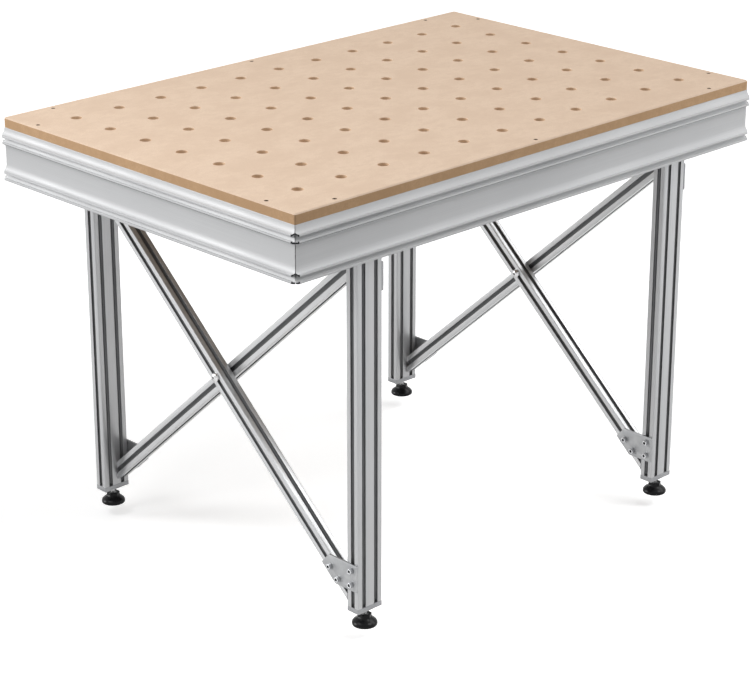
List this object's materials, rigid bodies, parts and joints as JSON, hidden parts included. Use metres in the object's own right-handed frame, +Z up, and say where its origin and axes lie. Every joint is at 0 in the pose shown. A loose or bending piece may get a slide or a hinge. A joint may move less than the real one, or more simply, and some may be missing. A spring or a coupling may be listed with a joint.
{
  "type": "assembly workbench",
  "caption": "Free-standing assembly workbench: drilled MDF board on a slotted aluminium frame, four extruded legs, crossed end braces and levelling feet.",
  "frame": {"origin": "on the floor, below the middle of the board", "axes": "+X along the long sides, +Y towards the rear long side, +Z up"},
  "size_m": [1.155, 0.775, 0.793],
  "materials": {
    "mdf": "sanded raw MDF, darker sawn edges",
    "anodised": "natural satin anodised extrusion",
    "zinc": "zinc-plated steel",
    "steel": "bright plated steel",
    "black_plastic": "glossy black moulded plastic"
  },
  "bodies": {
    "bench": {"top_board": "mdf", "rail_front": "anodised", "rail_rear": "anodised", "rail_left": "anodised", "rail_right": "anodised", "corner_key_front_left": "zinc", "corner_key_front_right": "zinc", "corner_key_rear_left": "zinc", "corner_key_rear_right": "zinc", "leg_front_left": "anodised", "leg_front_right": "anodised", "leg_rear_left": "anodised", "leg_rear_right": "anodised", "leg_bolts_front_left": "zinc", "leg_bolts_front_right": "zinc", "leg_bolts_rear_left": "zinc", "leg_bolts_rear_right": "zinc", "end_plate_front_left": "anodised", "end_plate_front_right": "anodised", "end_plate_rear_left": "anodised", "end_plate_rear_right": "anodised", "cross_bolt_left": "steel", "brace_left_a": "anodised", "gusset_left_a_low": "zinc", "leg_screws_left_a_low": "zinc", "brace_screws_left_a_low": "zinc", "gusset_left_a_high": "zinc", "leg_screws_left_a_high": "zinc", "brace_screws_left_a_high": "zinc", "brace_left_b": "anodised", "gusset_left_b_low": "zinc", "leg_screws_left_b_low": "zinc", "brace_screws_left_b_low": "zinc", "gusset_left_b_high": "zinc", "leg_screws_left_b_high": "zinc", "brace_screws_left_b_high": "zinc", "cross_bolt_right": "steel", "brace_right_a": "anodised", "gusset_right_a_low": "zinc", "leg_screws_right_a_low": "zinc", "brace_screws_right_a_low": "zinc", "gusset_right_a_high": "zinc", "leg_screws_right_a_high": "zinc", "brace_screws_right_a_high": "zinc", "brace_right_b": "anodised", "gusset_right_b_low": "zinc", "leg_screws_right_b_low": "zinc", "brace_screws_right_b_low": "zinc", "gusset_right_b_high": "zinc", "leg_screws_right_b_high": "zinc", "brace_screws_right_b_high": "zinc"},
    "pad_front_left": {"foot_pad_front_left": "black_plastic"},
    "stud_front_left": {"foot_stud_front_left": "steel"},
    "pad_front_right": {"foot_pad_front_right": "black_plastic"},
    "stud_front_right": {"foot_stud_front_right": "steel"},
    "pad_rear_left": {"foot_pad_rear_left": "black_plastic"},
    "stud_rear_left": {"foot_stud_rear_left": "steel"},
    "pad_rear_right": {"foot_pad_rear_right": "black_plastic"},
    "stud_rear_right": {"foot_stud_rear_right": "steel"}
  },
  "joints": [
    {"name": "levelling_front_left", "type": "slide", "parent": "bench", "child": "pad_front_left", "axis": [0, 0, -1], "range_m": [-0.01, 0.025]},
    {"name": "stud_turn_front_left", "type": "hinge", "parent": "pad_front_left", "child": "stud_front_left", "pos_m": [-0.3896, -0.3472, 0.0315], "axis": [0, 0, -1], "range_deg": [-2881, 7201]},
    {"name": "levelling_front_right", "type": "slide", "parent": "bench", "child": "pad_front_right", "axis": [0, 0, -1], "range_m": [-0.01, 0.025]},
    {"name": "stud_turn_front_right", "type": "hinge", "parent": "pad_front_right", "child": "stud_front_right", "pos_m": [0.3896, -0.3472, 0.0315], "axis": [0, 0, -1], "range_deg": [-2881, 7201]},
    {"name": "levelling_rear_left", "type": "slide", "parent": "bench", "child": "pad_rear_left", "axis": [0, 0, -1], "range_m": [-0.01, 0.025]},
    {"name": "stud_turn_rear_left", "type": "hinge", "parent": "pad_rear_left", "child": "stud_rear_left", "pos_m": [-0.3896, 0.3472, 0.0315], "axis": [0, 0, -1], "range_deg": [-2881, 7201]},
    {"name": "levelling_rear_right", "type": "slide", "parent": "bench", "child": "pad_rear_right", "axis": [0, 0, -1], "range_m": [-0.01, 0.025]},
    {"name": "stud_turn_rear_right", "type": "hinge", "parent": "pad_rear_right", "child": "stud_rear_right", "pos_m": [0.3896, 0.3472, 0.0315], "axis": [0, 0, -1], "range_deg": [-2881, 7201]}
  ],
  "couplings": [
    {"joint": "stud_turn_front_left", "follows": "levelling_front_left", "rad_per_m": 5026.6},
    {"joint": "stud_turn_front_right", "follows": "levelling_front_right", "rad_per_m": 5026.6},
    {"joint": "stud_turn_rear_left", "follows": "levelling_rear_left", "rad_per_m": 5026.6},
    {"joint": "stud_turn_rear_right", "follows": "levelling_rear_right", "rad_per_m": 5026.6}
  ]
}
